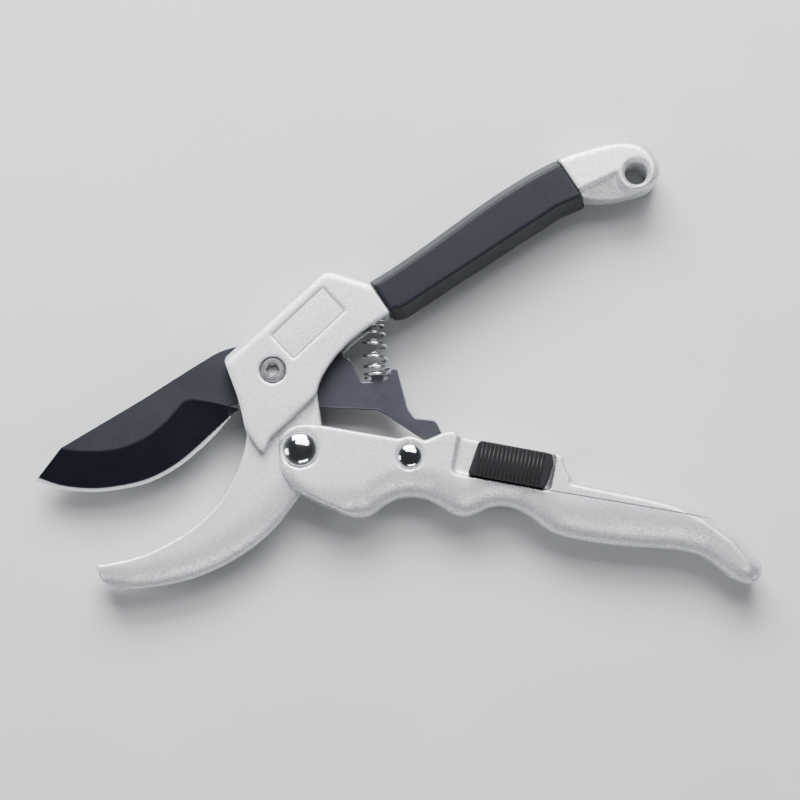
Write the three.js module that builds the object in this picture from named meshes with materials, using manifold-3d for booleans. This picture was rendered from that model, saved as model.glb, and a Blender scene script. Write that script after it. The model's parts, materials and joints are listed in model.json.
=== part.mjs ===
// Ratchet pruning shears lying on their rear face, handles open. Millimetres, +Z up.
// +X runs from the blade towards the handle ends. Outlines are drawn in the plane of the tool
// round the blade pivot, and heights are counted from the middle plane of the blade.
import * as THREE from "three";
import { mergeVertices } from "three/addons/utils/BufferGeometryUtils.js";
import Module from "manifold-3d";

const wasm = await Module();
wasm.setup();

// ---- Driving dimensions ----
// Lengths
const bladeLength = 78; // pivot to blade tip
const gripLength = 67; // sleeve, along the upper handle
const capLength = 25.5; // end cap beyond the sleeve
const tailLength = 61; // lower handle beyond the lock
// Thicknesses, all centred on the middle plane
const bladeThickness = 3;
const jawThickness = 9.4;
const headThickness = 17;
const handleThickness = 16;
const gripThickness = 18.6;
const capThickness = 17.6;
// Pivots
const handlePivot = [8.2, -23.6];
const linkPivot = [40.8, -25.6];
const nose = [18, 8]; // where the link pushes the blade
const closing = 28; // blade turn from open to shut, degrees
const boltRadius = 2.6;
const bushingWall = 1.3;
const screwHeadRadius = 3.65;
const handleBoltRadius = 3;
const domeRadius = 5.2;
const rivetRadius = 2.4;
const rivetHeadRadius = 3.7;
// Clearances
const slotGap = 0.3; // between plates that pass one another
const seatGap = 0.2; // round a part set into another
const runGap = 0.07; // radial, in a turning fit
const pinGap = 0.1; // radial, round a fixed pin
const edgeGap = 1; // blade edge to the floor of the jaw slot
// Blade
const hubRadius = 8.4;
const edgeLand = 0.24; // thickness left at the cutting edge
const noseRadius = 1.35;
const notchGap = 0.45;
const notchPitch = 5;
const washerThickness = 0.7;
const washerRadius = 6.9;
// Head
const cheekFillet = 3;
const webDepth = 2.3; // web along the top edge of the head
const labelSize = [21, 9.7];
const labelThickness = 0.45;
const jawScrewAt = [0.9, -14.6];
const jawScrewRadius = 1.4;
const jawScrewHead = 2.3;
// Handles
const channelWidth = 8.8; // inside the lower handle
const tangSize = [8, 9];
const cheekRound = 3; // rounding of the lower handle's underside
const loopRadius = 3.4; // hanging hole
// Lock
const sliderTravel = 4.5;
const sliderSize = [24.6, 10.6];
const sliderHeight = 4.6;
const ribPitch = 1.2;
const boltBar = [3.2, 3]; // across the handle, and through its thickness
// Return spring
const coilRadius = 3.5;
const wireRadius = 0.5;
const coilTurns = 6.75;

// ---- Derived heights ----
const bladeTop = bladeThickness / 2;
const slotTop = bladeTop + slotGap;
const jawTop = jawThickness / 2;
const cheekInner = jawTop + slotGap;
const headTop = headThickness / 2;
const handleTop = handleThickness / 2;
const gripTop = gripThickness / 2;
const capTop = capThickness / 2;
const channelTop = channelWidth / 2;

// ---- Shape helpers ----
const rad = (degrees) => (degrees * Math.PI) / 180;
const v2 = ([x, y]) => new THREE.Vector2(x, y);
const turn = ([x, y], degrees) => {
  const c = Math.cos(rad(degrees)), s = Math.sin(rad(degrees));
  return [x * c - y * s, x * s + y * c];
};
const polar = ([x, y], r, degrees) => [x + r * Math.cos(rad(degrees)), y + r * Math.sin(rad(degrees))];
const arc = (centre, r, from, to, steps = 12) =>
  Array.from({ length: steps + 1 }, (_, i) => polar(centre, r, from + ((to - from) * i) / steps));
// A smooth curve through the given points.
const smooth = (points, steps = points.length * 3) =>
  new THREE.CatmullRomCurve3(points.map(([x, y]) => new THREE.Vector3(x, y, 0)), false, "centripetal")
    .getPoints(steps).map((p) => [p.x, p.y]);
// A closed polygon whose corners [x, y, radius] are rounded.
function rounded(corners, stepAngle = 15) {
  const out = [];
  corners.forEach(([x, y, r = 0], i) => {
    if (!r) return out.push([x, y]);
    const at = new THREE.Vector2(x, y);
    const before = v2(corners.at(i - 1)).sub(at).normalize();
    const after = v2(corners[(i + 1) % corners.length]).sub(at).normalize();
    const half = Math.acos(THREE.MathUtils.clamp(before.dot(after), -1, 1)) / 2;
    const centre = before.clone().add(after).normalize().multiplyScalar(r / Math.sin(half)).add(at);
    const start = before.clone().multiplyScalar(r / Math.tan(half)).add(at).sub(centre);
    const end = after.clone().multiplyScalar(r / Math.tan(half)).add(at).sub(centre);
    const sweep = Math.atan2(start.cross(end), start.dot(end));
    if (Math.abs(sweep) < rad(10)) return out.push([x, y]);
    const steps = Math.max(2, Math.ceil(Math.abs(sweep) / rad(stepAngle)));
    for (let k = 0; k <= steps; k++)
      out.push(start.clone().rotateAround(new THREE.Vector2(), (sweep * k) / steps).add(centre).toArray());
  });
  return out;
}
const box = (cx, cy, w, h) =>
  [[-w, -h], [w, -h], [w, h], [-w, h]].map(([x, y]) => [cx + x / 2, cy + y / 2]);
// Points given along and across a handle that starts at origin and runs at an angle.
const along = (origin, degrees, points) =>
  points.map(([u, v]) => {
    const [x, y] = turn([u, v], degrees);
    return [origin[0] + x, origin[1] + y];
  });

// ---- Solid helpers ----
function solid(geometry) {
  for (const name of ["normal", "uv"]) geometry.deleteAttribute(name);
  const merged = mergeVertices(geometry, 1e-4);
  return new wasm.Manifold(new wasm.Mesh({
    numProp: 3,
    vertProperties: merged.attributes.position.array,
    triVerts: new Uint32Array(merged.index.array),
  }));
}
// A plate between two heights; round = [inset, depth, steps] rounds or chamfers both rims.
function plate(points, low, high, round) {
  const shape = new THREE.Shape(points.map(v2));
  const [inset, depth, steps] = round ?? [0, 0, 1];
  const geometry = new THREE.ExtrudeGeometry(shape, {
    depth: high - low - 2 * depth, bevelEnabled: Boolean(round),
    bevelSize: inset, bevelOffset: -inset, bevelThickness: depth, bevelSegments: steps,
  });
  return solid(geometry.translate(0, 0, low + depth));
}
// A turned solid on an axis parallel to Z; profile = [[radius, height], ...] from the axis and back.
function turned([x, y], profile, segments = 36) {
  const geometry = new THREE.LatheGeometry(profile.map(v2), segments);
  return solid(geometry.rotateX(Math.PI / 2).translate(x, y, 0));
}
const disc = (at, r, low, high, segments = 36) =>
  turned(at, [[0, low], [r, low], [r, high], [0, high], [0, low]], segments);
const ring = (at, inner, outer, low, high) =>
  turned(at, [[inner, low], [outer, low], [outer, high], [inner, high], [inner, low]]);
// A domed head: a rim of the given height with a low dome on it.
const dome = (at, r, seat, rim, top, sign = 1) => {
  const crown = Array.from({ length: 5 }, (_, i) =>
    [r * Math.cos(rad(18 * i)), rim + (top - rim) * Math.sin(rad(18 * i))]);
  const profile = [[0, seat], [r, seat], ...crown, [0, top], [0, seat]];
  const up = turned(at, profile);
  return sign > 0 ? up : up.mirror([0, 0, 1]);
};
const cut = (body, ...tools) => tools.reduce((a, b) => a.subtract(b), body);
const join = (body, ...others) => others.reduce((a, b) => a.add(b), body);
const both = (make) => join(make(1), make(-1));

// ---- Materials ----
const finish = (color, roughness, metalness) => ({ color, roughness, metalness });
const casting = finish(0xc9ccd4, 0.38, 0.75); // bright hammered silver paint
const bladeCoat = finish(0x24262d, 0.34, 0.6);
const darkSteel = finish(0x3b3f4c, 0.36, 0.8);
const chrome = finish(0xd4d7dc, 0.1, 1);
const steel = finish(0x9a9ea4, 0.3, 1);
const bronze = finish(0x9c7a45, 0.4, 0.9);
const gripPlastic = finish(0x2b2f38, 0.5, 0);
const blackPlastic = finish(0x141518, 0.6, 0);

const group = new THREE.Group();
function add(name, body, look) {
  const mesh = body.getMesh();
  const geometry = new THREE.BufferGeometry();
  geometry.setAttribute("position", new THREE.BufferAttribute(new Float32Array(mesh.vertProperties), 3));
  geometry.setIndex(new THREE.BufferAttribute(new Uint32Array(mesh.triVerts), 1));
  geometry.computeVertexNormals();
  const part = new THREE.Mesh(geometry, new THREE.MeshStandardMaterial(look));
  part.name = name;
  group.add(part);
}

// ---- Blade ----
const jawScale = bladeLength / 78;
const scaled = (points) => points.map(([x, y]) => [x * jawScale, y * jawScale]);
const cuttingEdge = scaled([
  [-71, -32.3], [-64.3, -34.7], [-55, -35.8], [-47.2, -35.2], [-38.6, -33.4], [-33, -31],
  [-27.6, -27.7], [-23, -23.9], [-18.6, -19.8], [-14.9, -15.6], [-12.2, -12.2],
]);
const bevelLine = scaled([
  [-63.5, -22.7], [-58.6, -23.3], [-51.1, -23.3], [-45.4, -22.4], [-39.2, -19.8], [-35.8, -17.5],
  [-32.3, -14.4], [-29.3, -11], [-26.5, -8.1], [-19.8, -8.6], [-10.6, -10.9],
]);
const spine = scaled([[-63.5, -22.7], [-38.7, -7.8], [-21, 3.5], [-16.5, 6.1], [-12, 7.6], [-6, 8.5]]);
const bevelSteps = 30;
// The ground part of the blade: one wedge from the bevel line down to the cutting edge.
function bevel() {
  const inner = smooth(bevelLine, bevelSteps), outer = smooth(cuttingEdge, bevelSteps);
  const points = [], faces = [];
  inner.forEach(([x, y], i) => {
    const [ex, ey] = outer[i];
    points.push([x, y, -bladeTop], [ex, ey, -edgeLand / 2], [ex, ey, edgeLand / 2], [x, y, bladeTop]);
    if (!i) return;
    const a = 4 * (i - 1), b = 4 * i;
    for (let k = 0; k < 4; k++) {
      const n = (k + 1) % 4;
      faces.push(a + k, b + k, b + n, a + k, b + n, a + n);
    }
  });
  const last = 4 * bevelSteps;
  faces.push(0, 1, 2, 0, 2, 3, last, last + 2, last + 1, last, last + 3, last + 2);
  return new wasm.Manifold(new wasm.Mesh({
    numProp: 3, vertProperties: new Float32Array(points.flat()), triVerts: new Uint32Array(faces),
  }));
}
// Three notches run down the flank of the blade's tail, the outermost at the link's nose.
const flankAngle = -137;
const flankBack = 0.35; // the teeth stop short of the line through the notches
const notches = [0, 1, 2].map((i) => polar(nose, i * notchPitch, flankAngle));
const bladeTail = rounded([
  polar([0, 0], hubRadius, -14), [...polar(polar(nose, 3.2, flankAngle + 180), flankBack, flankAngle - 90), 0.6],
  [17.2, 13.4, 2], [4, 9.4, 0], [0, 8.6, 0],
]);
const bladePlate = [
  ...smooth(bevelLine, bevelSteps).slice(0, -1), ...arc([0, 0], hubRadius, -124, -20, 10),
  ...bladeTail, ...smooth(spine.slice(1).reverse(), 12),
];
const bladeBore = boltRadius + pinGap + bushingWall + runGap;
const blade = cut(
  join(plate(bladePlate, -bladeTop, bladeTop), bevel()),
  disc([0, 0], bladeBore, -bladeTop - 1, bladeTop + 1, 64),
  ...notches.map((at) => disc(at, noseRadius + notchGap, -bladeTop - 1, bladeTop + 1, 24)),
);
add("blade", blade, bladeCoat);

// ---- Counter jaw: two prongs with the blade's slot between them ----
const jawInner = scaled([
  [-7.8, -19], [-8.6, -23.6], [-10.2, -28.4], [-12.8, -33.8], [-17, -40.2], [-21.8, -45], [-26.2, -48.4],
  [-31.3, -51.4], [-36.5, -54], [-41.8, -55.8], [-47.1, -57], [-52.7, -57.9],
]);
const jawOuter = scaled([
  [-47.6, -64.9], [-42, -64.9], [-35.6, -64.3], [-29.3, -63.1], [-21.8, -61], [-15.5, -58.2], [-9.2, -54.6],
  [-3.8, -50.6], [0.4, -46.8], [3.6, -43], [6.4, -39.2],
]);
const jawBack = [[11, -33.5, 6], [15.6, -25, 8], [14.4, -16, 8], [13.2, -6.6, 6], [11.5, 1, 4], [8.5, 7, 3]];
const jawHead = [[-3, 9.2, 4], [-9.2, 3.4, 4], [-11.2, -6, 4]];
const jawTip = scaled([[-50.8, -62.3]]);
const jawLine = rounded([
  ...smooth(jawInner, 30), [...jawTip[0], 1.2], ...smooth(jawOuter, 28),
  ...jawBack, ...jawHead,
]);
// The rounded outside of the jaw, drawn wide of the sharp inner edge so that only the outside rounds.
const jawRounding = rounded([
  ...scaled([[-30, -30], [-75, -55], [-58, -72]]), ...smooth(scaled([[-52, -63.6]]).concat(jawOuter), 30),
  [13, -34, 0], [40, -20, 0], [40, 20, 0], [-30, 20, 0],
]);
// The slot floor follows the edge of the closed blade.
const closedEdge = smooth(cuttingEdge, bevelSteps).map((p) => turn(p, closing));
const slotFloor = closedEdge.slice(0, -1).map(([x, y], i) => {
  const [nx, ny] = closedEdge[i + 1];
  const run = Math.hypot(nx - x, ny - y);
  return [x + ((ny - y) / run) * edgeGap, y - ((nx - x) / run) * edgeGap];
});
const jawSlot = [
  ...slotFloor, [-3.2, -15.2], ...arc([0, 0], hubRadius + 0.9, -85, -50, 4), [7.2, -11.6], [30, -11.6],
  [30, 40], [-90 * jawScale, 40], [-90 * jawScale, -66 * jawScale],
  [slotFloor[0][0] - 12 * jawScale, slotFloor[0][1] - 1.5],
];
const bushingRadius = boltRadius + pinGap + bushingWall;
const washerSeat = slotTop - slotGap + 0.06 + washerThickness;
const jawHoles = (r, at) => disc(at, r, -jawTop - 1, jawTop + 1, 64);
const hook = cut(
  plate(jawLine, -jawTop, jawTop).intersect(plate(jawRounding, -jawTop, jawTop, [2.2, 3, 4])),
  plate(jawSlot, -slotTop, slotTop),
  jawHoles(bushingRadius + pinGap, [0, 0]),
  jawHoles(handleBoltRadius + runGap, handlePivot),
  jawHoles(jawScrewRadius + pinGap, jawScrewAt),
  disc([0, 0], washerRadius + seatGap, -washerSeat - 0.02, washerSeat + 0.02),
);
add("counter_jaw", hook, casting);

// ---- Upper handle: forked head, web and tang in one casting ----
const gripOrigin = [31.4, 23.2];
const gripAngle = 33.5;
const headEdge = smooth([[34.9, 17.2], [30, 14.1], [25.2, 10.6], [20.1, 5.8], [16.2, 0.6], [14, -3.6], [13.1, -7]], 14);
const headLine = rounded([
  [-14.9, 3.6, 3], [-12.2, -3.5, 0], [-10.2, -9, 0], [-9.2, -13, 0], [-8.2, -17.6, 1.5], [-2.8, -25.4, 1.2],
  [-0.6, -20.2, 3], [13.1, -7, 0], ...headEdge.reverse().slice(1),
  [28.3, 27, 0.8], [15.4, 31.2, 5],
]);
// Only the top edge of the head is softly rounded.
const headRounding = rounded([
  [-22, -3, 3], [-60, -60, 0], [60, -60, 0], [60, 17, 0], [28.8, 27.1, 0], [15.4, 31.2, 5],
]);
const web = [
  [-4.6, 10.2], [-10, 16], [0, 40], [60, 40], [60, 16.6], [25.4, 16.6], [21.6, 14.6], [16.6, 18.4],
  [11.6, 21.2], [7.2, 21.5],
];
const [tangWide, tangThick] = tangSize;
const tangEnd = gripLength + capLength * 0.3;
const tangCentre = -2.2; // the tang runs below the line of the joint
const tang = along(gripOrigin, gripAngle, rounded([
  [-2, tangCentre - tangWide / 2], [tangEnd, tangCentre - tangWide / 2, 1.5],
  [tangEnd, tangCentre + tangWide / 2, 1.5], [-2, tangCentre + tangWide / 2],
]));
const labelAngle = 43.5;
const labelCentre = [10.5, 14.1];
const label = (grow) => along(labelCentre, labelAngle, box(0, 0, labelSize[0] + grow, labelSize[1] + grow));
const screwSeat = headTop - 2.6;
const nutRadius = 4.2;
const nutSeat = -headTop + 2.9;
const springFoot = [31.2, -1.9];
const springTop = [29.3, 16.35];
const springAxis = v2(springTop).sub(v2(springFoot)).normalize();
// A round bar in the plane of the tool, from one point to another.
const barBetween = (from, to, r, segments = 24) => {
  const a = new THREE.Vector3(...from, 0), b = new THREE.Vector3(...to, 0);
  const geometry = new THREE.CylinderGeometry(r, r, a.distanceTo(b), segments);
  geometry.applyQuaternion(new THREE.Quaternion().setFromUnitVectors(
    new THREE.Vector3(0, 1, 0), b.clone().sub(a).normalize()));
  return solid(geometry.translate(...a.add(b).multiplyScalar(0.5).toArray()));
};
const onSpring = (distance) => v2(springTop).addScaledVector(springAxis, distance).toArray();
const pegRadius = 2.2;
const capScrewU = gripLength + capLength * 0.17;
const capScrewAt = along(gripOrigin, gripAngle, [[capScrewU, tangCentre]])[0];
const capScrewRadius = 1.6;
const upper = cut(
  join(
    cut(
      plate(headLine, -headTop, headTop, [0.5, 0.5, 2])
        .intersect(plate(headRounding, -headTop, headTop, [cheekFillet, cheekFillet, 5])),
      cut(plate(box(0, 0, 200, 200), -cheekInner, cheekInner), plate(web, -cheekInner, cheekInner)),
    ),
    plate(tang, -tangThick / 2, tangThick / 2),
  ),
  plate(label(2 * seatGap), headTop - labelThickness - 0.05, headTop + 1),
  disc([0, 0], screwHeadRadius + 0.35, screwSeat, headTop + 1),
  disc([0, 0], boltRadius + pinGap, -headTop - 1, headTop + 1),
  disc([0, 0], nutRadius + seatGap, -headTop - 1, nutSeat),
  disc(jawScrewAt, jawScrewRadius + pinGap, -headTop - 1, headTop - 1.4),
  disc(jawScrewAt, jawScrewHead + seatGap, -headTop - 1, -headTop + 1.7),
  barBetween(onSpring(-0.6), onSpring(4.2), pegRadius + pinGap),
  disc(capScrewAt, capScrewRadius + pinGap, -tangThick, 2),
);
add("upper_handle", upper, casting);
add("label_plate", plate(label(0), headTop - labelThickness - 0.05, headTop - 0.05), casting);

// ---- Blade pivot ----
const socket = plate(
  arc([0, 0], 1.9, 0, 300, 5), headTop - 1.9, headTop + 1);
const pivotScrew = cut(join(
  turned([0, 0], [[0, screwSeat], [screwHeadRadius, screwSeat], [screwHeadRadius, headTop - 0.45],
    [screwHeadRadius - 0.4, headTop - 0.05], [0, headTop - 0.05], [0, screwSeat]]),
  disc([0, 0], boltRadius, -headTop + 0.5, screwSeat),
), socket);
add("pivot_screw", pivotScrew, chrome);
add("pivot_nut", cut(
  plate(arc([0, 0], nutRadius, 0, 300, 5), -headTop + 0.2, nutSeat),
  disc([0, 0], boltRadius + pinGap, -headTop - 1, 0),
), steel);
add("pivot_bushing", ring([0, 0], boltRadius + pinGap, bushingRadius, -jawTop, jawTop), bronze);
const bladeWasher = (sign) => {
  const near = bladeTop + 0.06, far = near + washerThickness;
  return ring([0, 0], bushingRadius + pinGap, washerRadius, Math.min(sign * near, sign * far),
    Math.max(sign * near, sign * far));
};
add("blade_washer_front", bladeWasher(1), bronze);
add("blade_washer_rear", bladeWasher(-1), bronze);
// Rear screw that stops the jaw turning in the head.
const jawScrew = cut(join(
  disc(jawScrewAt, jawScrewHead, -headTop + 0.15, -headTop + 1.65, 24),
  disc(jawScrewAt, jawScrewRadius, -headTop + 1.6, headTop - 1.6, 24),
), plate(box(...jawScrewAt, 3.4, 0.7), -headTop - 1, -headTop + 0.9));
add("jaw_screw", jawScrew, steel);

// ---- Grip sleeve and end cap on the tang ----
const grow = gripLength / 67;
const sleeveTop = [[-12, 5.4], [0.4, 4.9], [8, 4.7], [20, 5], [34, 5.7], [46, 6.1], [58, 5.8], [67, 4.9], [80, 3.6]];
// Sleeve and cap are drawn past the joints, so that their rounding runs through, and trimmed to length.
const trim = (from, to) => plate(along(gripOrigin, gripAngle, box((from + to) / 2, 0, to - from, 80)), -50, 50);
const sleeveLine = along(gripOrigin, gripAngle, [
  [-12, -3], [3, -10.1], [59 * grow, -10.3], [66 * grow, -11.6], [84 * grow, -11.6],
  ...smooth(sleeveTop.map(([u, v]) => [u * grow, v]), 16).reverse(),
]);
// The tang's hole opens towards the head and ends just past the tang, inside the cap.
const tangHole = along(gripOrigin, gripAngle,
  box((tangEnd + seatGap - 4) / 2, tangCentre, tangEnd + seatGap + 4, tangWide + 2 * seatGap));
add("grip_sleeve", cut(
  plate(sleeveLine, -gripTop, gripTop, [2.5, 7.6, 1]).intersect(trim(0.1, gripLength - 0.1)),
  plate(tangHole, -tangThick / 2 - seatGap, tangThick / 2 + seatGap),
), gripPlastic);
const capScale = capLength / 25.5;
const capPoint = ([u, v]) => [gripLength + 0.1 + u * capScale, v];
const capLine = along(gripOrigin, gripAngle, smooth([
  [-12, 5.2], [0, 4.9], [10.8, 2.1], [18, -0.7], [22.3, -3.7], [24.8, -7.2], [25.4, -11.4], [24.4, -15.1],
  [21.8, -17.5], [18.7, -18.1], [15.6, -17.6], [9.6, -15.7], [4.4, -12.9], [0, -9.6], [-8, -7],
], 44).map(capPoint));
const loopCentre = along(gripOrigin, gripAngle, [capPoint([17.4, -12.4])])[0];
const loopLip = 1.1;
const loopTop = capTop - 0.6;
add("end_cap", cut(
  plate(capLine, -capTop, capTop, [2.4, 3.4, 4]).intersect(trim(gripLength + 0.1, gripLength + 2 * capLength)),
  plate(tangHole, -tangThick / 2 - seatGap, tangThick / 2 + seatGap),
  disc(loopCentre, loopRadius, -capTop - 1, capTop + 1),
  both((s) => {
    const cone = turned(loopCentre, [[0, loopTop - 1], [loopRadius, loopTop - 1],
      [loopRadius + loopLip, capTop + 0.1], [0, capTop + 0.1], [0, loopTop - 1]]);
    return s > 0 ? cone : cone.mirror([0, 0, 1]);
  }),
  disc(capScrewAt, capScrewRadius + pinGap, -capTop - 1, 0, 24),
  disc(capScrewAt, 3 + seatGap, -capTop - 1, -capTop + 1.6),
), casting);
add("cap_screw", cut(join(
  disc(capScrewAt, 3, -capTop + 0.1, -capTop + 1.5),
  disc(capScrewAt, capScrewRadius, -capTop + 1.5, 1.8, 24),
), plate(box(...capScrewAt, 4.4, 0.8), -capTop - 1, -capTop + 0.8)), steel);

// ---- Lower handle ----
const stretch = tailLength / 61;
const tailPoint = ([x, y]) => [84 + (x - 84) * stretch, y];
const handleUpper = [
  [14.2, -16.4, 2], [37.6, -20.4, 0], ...smooth([[38.2, -20.1], [40.8, -19.6], [43, -20.1], [45.4, -21]], 6),
  [51.2, -18.4, 1.5], [54, -17.9, 0.6], [55.6, -19.7, 1], [60.7, -20.7, 0], [86.3, -25.3, 1], [87, -29.4, 3],
  [89.3, -33.1, 3],
];
const handleBack = smooth(
  [[93.6, -34.1], [107.8, -36.8], [118.5, -39.2], [129.1, -43.2], [138, -48.9], [143.4, -54.8]], 12).map(tailPoint);
const handleTip = arc(tailPoint([141.4, -59.1]), 4.2, 40, -100, 8);
const handleUnder = smooth([
  [136.4, -61.4], [131.4, -57.4], [127, -54.8], [121, -53.2], [106.6, -52.2], [91.5, -50.2], [84, -48.2],
  [80.4, -46.1], [76.7, -43.2], [72.2, -40.8], [67.7, -40], [63.8, -40.8], [60, -42.6], [56.7, -43.2],
  [53.4, -42.2], [50.1, -40.2], [46.2, -38.2], [41.5, -37.4], [37, -38], [32.8, -40.2], [29.8, -42.6],
  [26.5, -43.6], [21.5, -42.7], [14, -40],
], 62).map((p) => (p[0] > 84 ? tailPoint(p) : p));
const forkEnd = smooth([[9, -37.6], [4.8, -34.1], [2.4, -30.4], [1.3, -26.2], [1.5, -22.4], [2.9, -19.2],
  [5.6, -16.9], [9.2, -16]], 14);
const handleLine = rounded([...handleUpper, ...handleBack, ...handleTip, ...handleUnder, ...forkEnd]);
// The underside rounds over; the top edge stays crisp.
const handleRounding = [
  [-40, 20], tailPoint([175, 20]), tailPoint([151, -50]), ...handleTip.slice(1), ...handleUnder,
  ...forkEnd.slice(0, 9), [-10, -10],
];
// Inside: open between the cheeks at the fork and round the link, closed below and beyond.
const lobeRadius = 12;
const channel = rounded([
  [-20, 0, 0], [-20, -60, 0], [16.6, -60, 0], [16.6, -34.5, 0], [20, -33.4, 3],
  ...arc(linkPivot, lobeRadius + 0.6, -38, 30, 14), [52, 0, 0],
]);
const slideAngle = 169.6; // direction in which the lock slides on
const lockCentre = [70.9, -28.2];
const onLock = (points) => along(lockCentre, slideAngle - 180, points);
const [sliderLong, sliderWide] = sliderSize;
const recessFloor = handleTop - 2.9;
const recess = onLock(rounded([
  [-sliderLong / 2 - sliderTravel - 0.3, -sliderWide / 2 - 0.3, 2],
  [sliderLong / 2 + 0.5, -sliderWide / 2 - 0.3, 1], [sliderLong / 2 + 0.5, sliderWide / 2 + 0.3, 2],
  [-sliderLong / 2 - sliderTravel - 0.3, sliderWide / 2 + 0.3, 1],
]));
const barLong = 27;
const barStart = -sliderLong / 2 - 0.9; // tip of the bar, clear of the link's lobe when slid on
const stemSize = [6, 1.8];
const barLine = (growBy, extra) => onLock(rounded([
  [barStart - growBy - extra, -boltBar[0] / 2 - growBy, 0], [barStart + barLong + growBy, -boltBar[0] / 2 - growBy, 0],
  [barStart + barLong + growBy, boltBar[0] / 2 + growBy, 0], [barStart - growBy - extra, boltBar[0] / 2 + growBy, 0],
]));
const barTop = boltBar[1] / 2;
const washerNear = jawTop + 0.06;
const handleWasherThickness = 0.8;
const shoulder = handleTop - 1.3; // seat of the domed heads
const boss = disc(linkPivot, 5.6, -handleTop - 0.15, handleTop + 0.15);
const lower = cut(
  join(
    plate(handleLine, -handleTop, handleTop, [0.4, 0.4, 1])
      .intersect(plate(handleRounding, -handleTop, handleTop, [cheekRound, 5, 5])),
    boss,
  ),
  plate(channel, -channelTop, channelTop),
  plate(box(handlePivot[0] - 19, handlePivot[1], 60, 80), -cheekInner, cheekInner),
  disc(handlePivot, handleBoltRadius + pinGap, -handleTop - 1, handleTop + 1),
  both((s) => disc(handlePivot, domeRadius + 0.35, s > 0 ? shoulder : -handleTop - 1,
    s > 0 ? handleTop + 1 : -shoulder)),
  disc(handlePivot, 6.4 + seatGap, -washerNear - handleWasherThickness, washerNear + handleWasherThickness),
  disc(linkPivot, rivetRadius + pinGap, -handleTop - 1, handleTop + 1),
  both((s) => disc(linkPivot, rivetHeadRadius + 0.35, s > 0 ? shoulder : -handleTop - 1,
    s > 0 ? handleTop + 1 : -shoulder)),
  plate(recess, recessFloor, handleTop + 1),
  plate(barLine(0.3, 8), -barTop - 0.3, barTop + 0.3),
  plate(onLock(box(-sliderTravel / 2, 0, stemSize[0] + sliderTravel + 0.8, stemSize[1] + 0.6)), 0, handleTop),
);
add("lower_handle", lower, casting);

// ---- Handle pivot ----
const handleBolt = join(
  dome(handlePivot, domeRadius, shoulder, shoulder + 0.9, handleTop + 1.5),
  disc(handlePivot, handleBoltRadius, -shoulder - 0.6, shoulder),
);
add("handle_bolt", handleBolt, chrome);
add("handle_nut", cut(
  dome(handlePivot, domeRadius, shoulder, shoulder + 0.9, handleTop + 0.8, -1),
  disc(handlePivot, handleBoltRadius + pinGap, -shoulder - 0.7, 0),
), chrome);
for (const [side, s] of [["front", 1], ["rear", -1]]) {
  const heights = [s * washerNear, s * (washerNear + handleWasherThickness - 0.06)].sort((a, b) => a - b);
  add(`handle_washer_${side}`, ring(handlePivot, handleBoltRadius + pinGap, 6.4, ...heights), steel);
}

// ---- Ratchet link ----
const neckAngle = 248.5; // edge of the link's neck, swinging towards the blade's flank
const linkLine = rounded([
  ...arc(nose, noseRadius, neckAngle, 15, 10), [20.9, 5.3, 2], [23.6, 3.4, 2], [26.4, -2.9, 1],
  [29.2, -2.75, 0], [29.4, 0.6, 0.6], [32.6, 1, 0.6], [32.9, -2.3, 0], [34.2, -1.6, 1], [35.6, 1.4, 0.5],
  [37, 1.1, 0.6], [40.2, -11, 3], [42.2, -13.7, 1.5], [48.6, -14.3, 2.5],
  ...arc(linkPivot, lobeRadius, 36, -14, 10),
  ...arc(linkPivot, 5.5, -60, -310, 16), [45.6, -20.6, 0.5],
  [31.6, -11.2, 3], [12.2, -10.4, 1], [12.2, -5.4, 2], [...polar(nose, 9, neckAngle), 2],
]);
const link = cut(
  plate(linkLine, -bladeTop, bladeTop),
  disc(linkPivot, rivetRadius + runGap, -bladeTop - 1, bladeTop + 1, 64),
);
add("ratchet_link", link, darkSteel);
add("link_rivet", join(
  dome(linkPivot, rivetHeadRadius, shoulder, shoulder + 0.8, handleTop + 0.7),
  disc(linkPivot, rivetRadius, -shoulder - 0.5, shoulder),
), chrome);
add("rivet_collar", cut(
  dome(linkPivot, rivetHeadRadius, shoulder, shoulder + 0.6, handleTop + 0.3, -1),
  disc(linkPivot, rivetRadius + pinGap, -shoulder - 0.6, 0),
), chrome);
for (const [side, s] of [["front", 1], ["rear", -1]]) {
  const heights = [s * (bladeTop + 0.06), s * (channelTop - 0.02)].sort((a, b) => a - b);
  add(`link_spacer_${side}`, ring(linkPivot, rivetRadius + pinGap, 4.9, ...heights), bronze);
}

// ---- Return spring between the link and the upper handle ----
add("spring_peg", barBetween(onSpring(-3.4), onSpring(4.1), pegRadius), steel);
class Coil extends THREE.Curve {
  getPoint(t, out = new THREE.Vector3()) {
    const turnAngle = t * coilTurns * 2 * Math.PI;
    const start = v2(springFoot).addScaledVector(springAxis, wireRadius + 0.2);
    const length = v2(springTop).distanceTo(start) - wireRadius - 0.2;
    const across = new THREE.Vector2(-springAxis.y, springAxis.x);
    const at = start.addScaledVector(springAxis, t * length)
      .addScaledVector(across, coilRadius * Math.cos(turnAngle));
    return out.set(at.x, at.y, coilRadius * Math.sin(turnAngle));
  }
}
const wire = new THREE.Shape(arc([0, 0], wireRadius, 0, 300, 5).map(v2));
add("return_spring", solid(new THREE.ExtrudeGeometry(wire,
  { steps: Math.round(coilTurns * 18), extrudePath: new Coil(), bevelEnabled: false })), steel);

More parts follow.
